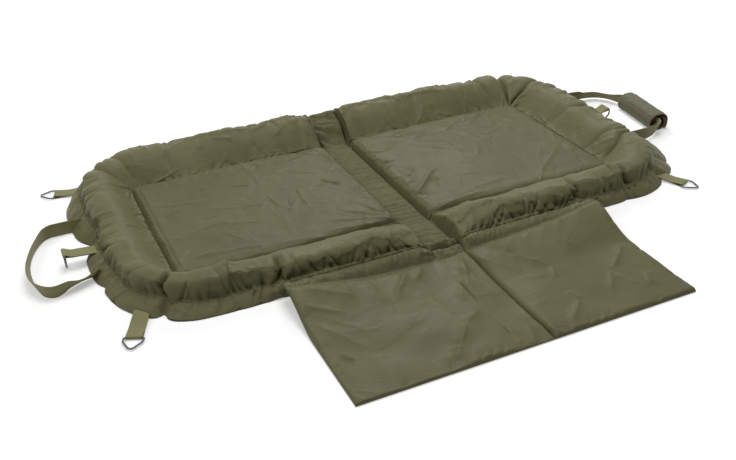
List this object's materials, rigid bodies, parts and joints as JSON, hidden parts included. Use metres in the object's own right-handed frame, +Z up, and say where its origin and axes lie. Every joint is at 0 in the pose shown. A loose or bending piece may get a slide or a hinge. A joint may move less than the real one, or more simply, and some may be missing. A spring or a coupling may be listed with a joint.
{
  "type": "unhooking mat",
  "caption": "Folding padded fish mat with stuffed bolster walls, a padded floor, a kneeling flap in front, webbing carry handles and peg rings on webbing tabs.",
  "frame": {"origin": "middle of the mat's underside, on the fold line, with the mat lying open", "axes": "+X along the mat to the end with the wrapped handle, +Y to the back, away from the flap, +Z up"},
  "size_m": [1.2908, 0.8253, 0.066],
  "materials": {
    "mat_cloth": "coated woven nylon in olive, soft sheen",
    "base_cloth": "coarse coated cloth in dark olive",
    "foam": "soft padding sheet, counted as cloth",
    "fibre": "loose soft filling, counted as cloth",
    "webbing": "ribbed woven webbing in khaki",
    "grip_cloth": "padded cloth in green",
    "tape": "black hook and loop tape",
    "ring_metal": "dark plated wire"
  },
  "bodies": {
    "spine": {"spine_base": "base_cloth", "spine_top": "mat_cloth", "spine_edge_front": "mat_cloth", "spine_edge_back": "mat_cloth", "flap_hinge_middle": "mat_cloth"},
    "left_half": {"base_sheet_left": "base_cloth", "panel_cover_left": "mat_cloth", "panel_foam_left": "foam", "bolster_cover_left": "mat_cloth", "bolster_core_back_left": "fibre", "bolster_core_end_left": "fibre", "bolster_core_front_left": "fibre", "rim_left": "mat_cloth", "tab_front_left": "webbing", "tab_back_left": "webbing", "tab_end_left": "webbing", "handle_anchor_left_back": "webbing", "handle_anchor_left_front": "webbing", "flap_hinge_left": "mat_cloth"},
    "right_half": {"base_sheet_right": "base_cloth", "panel_cover_right": "mat_cloth", "panel_foam_right": "foam", "bolster_cover_right": "mat_cloth", "bolster_core_back_right": "fibre", "bolster_core_end_right": "fibre", "bolster_core_front_right": "fibre", "rim_right": "mat_cloth", "tab_front_right": "webbing", "tab_back_right": "webbing", "tab_end_right": "webbing", "handle_anchor_right_back": "webbing", "handle_anchor_right_front": "webbing", "flap_hinge_right": "mat_cloth"},
    "flap_left": {"flap_bottom_left": "base_cloth", "flap_foam_left": "foam", "flap_top_left": "mat_cloth"},
    "flap_middle": {"flap_strip": "mat_cloth"},
    "flap_right": {"flap_bottom_right": "base_cloth", "flap_foam_right": "foam", "flap_top_right": "mat_cloth"},
    "handle_left": {"handle_strap_left": "webbing"},
    "handle_right": {"handle_strap_right": "webbing", "grip_trough": "grip_cloth", "loop_tape": "tape"},
    "grip_flap": {"grip_cover": "grip_cloth", "hook_tape": "tape"},
    "ring_front_left": {"ring_front_left": "ring_metal"},
    "ring_back_left": {"ring_back_left": "ring_metal"},
    "ring_end_left": {"ring_end_left": "ring_metal"},
    "ring_front_right": {"ring_front_right": "ring_metal"},
    "ring_back_right": {"ring_back_right": "ring_metal"},
    "ring_end_right": {"ring_end_right": "ring_metal"}
  },
  "joints": [
    {"name": "fold_left", "type": "hinge", "parent": "spine", "child": "left_half", "pos_m": [-0.0265, 0, 0.0017], "axis": [0, 1, 0], "range_deg": [0, 87], "deforming": ["bolster_cover_left", "bolster_core_back_left", "bolster_core_end_left", "bolster_core_front_left", "rim_left"]},
    {"name": "fold_right", "type": "hinge", "parent": "spine", "child": "right_half", "pos_m": [0.0265, 0, 0.0017], "axis": [0, 1, 0], "range_deg": [-87, 0], "deforming": ["bolster_cover_right", "bolster_core_back_right", "bolster_core_end_right", "bolster_core_front_right", "rim_right"]},
    {"name": "flap_left_hinge", "type": "hinge", "parent": "left_half", "child": "flap_left", "pos_m": [-0.0265, -0.2924, -0.0005], "axis": [1, 0, 0], "range_deg": [-90, 180], "deforming": ["flap_hinge_left"]},
    {"name": "flap_middle_hinge", "type": "hinge", "parent": "spine", "child": "flap_middle", "pos_m": [0, -0.2924, -0.0005], "axis": [1, 0, 0], "range_deg": [-90, 180], "deforming": ["flap_hinge_middle"]},
    {"name": "flap_right_hinge", "type": "hinge", "parent": "right_half", "child": "flap_right", "pos_m": [0.0265, -0.2924, -0.0005], "axis": [1, 0, 0], "range_deg": [-90, 180], "deforming": ["flap_hinge_right"]},
    {"name": "handle_left_swing", "type": "hinge", "parent": "left_half", "child": "handle_left", "pos_m": [-0.5663, 0, 0.0133], "axis": [0, 1, 0], "range_deg": [0, 85]},
    {"name": "handle_right_swing", "type": "hinge", "parent": "right_half", "child": "handle_right", "pos_m": [0.5663, 0, 0.0157], "axis": [0, 1, 0], "range_deg": [-85, 0]},
    {"name": "grip_flap_hinge", "type": "hinge", "parent": "handle_right", "child": "grip_flap", "pos_m": [0.61785, 0.00331, 0.02638], "axis": [-0.1392, -0.9903, 0], "range_deg": [0, 120]},
    {"name": "ring_front_left_swing", "type": "hinge", "parent": "left_half", "child": "ring_front_left", "pos_m": [-0.50757, -0.27072, 0.00335], "axis": [-0.9135, 0.4067, 0], "range_deg": [-3, 130]},
    {"name": "ring_back_left_swing", "type": "hinge", "parent": "left_half", "child": "ring_back_left", "pos_m": [-0.54429, 0.23426, 0.00335], "axis": [0.2756, 0.9613, 0], "range_deg": [-3, 130]},
    {"name": "ring_end_left_swing", "type": "hinge", "parent": "left_half", "child": "ring_end_left", "pos_m": [-0.5653, -0.03, 0.0278], "axis": [0, 1, 0], "range_deg": [-10, 180]},
    {"name": "ring_front_right_swing", "type": "hinge", "parent": "right_half", "child": "ring_front_right", "pos_m": [0.50757, -0.27072, 0.00335], "axis": [-0.9135, -0.4067, 0], "range_deg": [-3, 130]},
    {"name": "ring_back_right_swing", "type": "hinge", "parent": "right_half", "child": "ring_back_right", "pos_m": [0.54429, 0.23426, 0.00335], "axis": [0.2756, -0.9613, 0], "range_deg": [-3, 130]},
    {"name": "ring_end_right_swing", "type": "hinge", "parent": "right_half", "child": "ring_end_right", "pos_m": [0.5653, 0.036, 0.0278], "axis": [0, -1, 0], "range_deg": [-10, 180]}
  ],
  "couplings": [
    {"joint": "fold_right", "follows": "fold_left", "ratio": -1},
    {"joint": "flap_middle_hinge", "follows": "flap_left_hinge", "ratio": 1},
    {"joint": "flap_right_hinge", "follows": "flap_left_hinge", "ratio": 1}
  ]
}
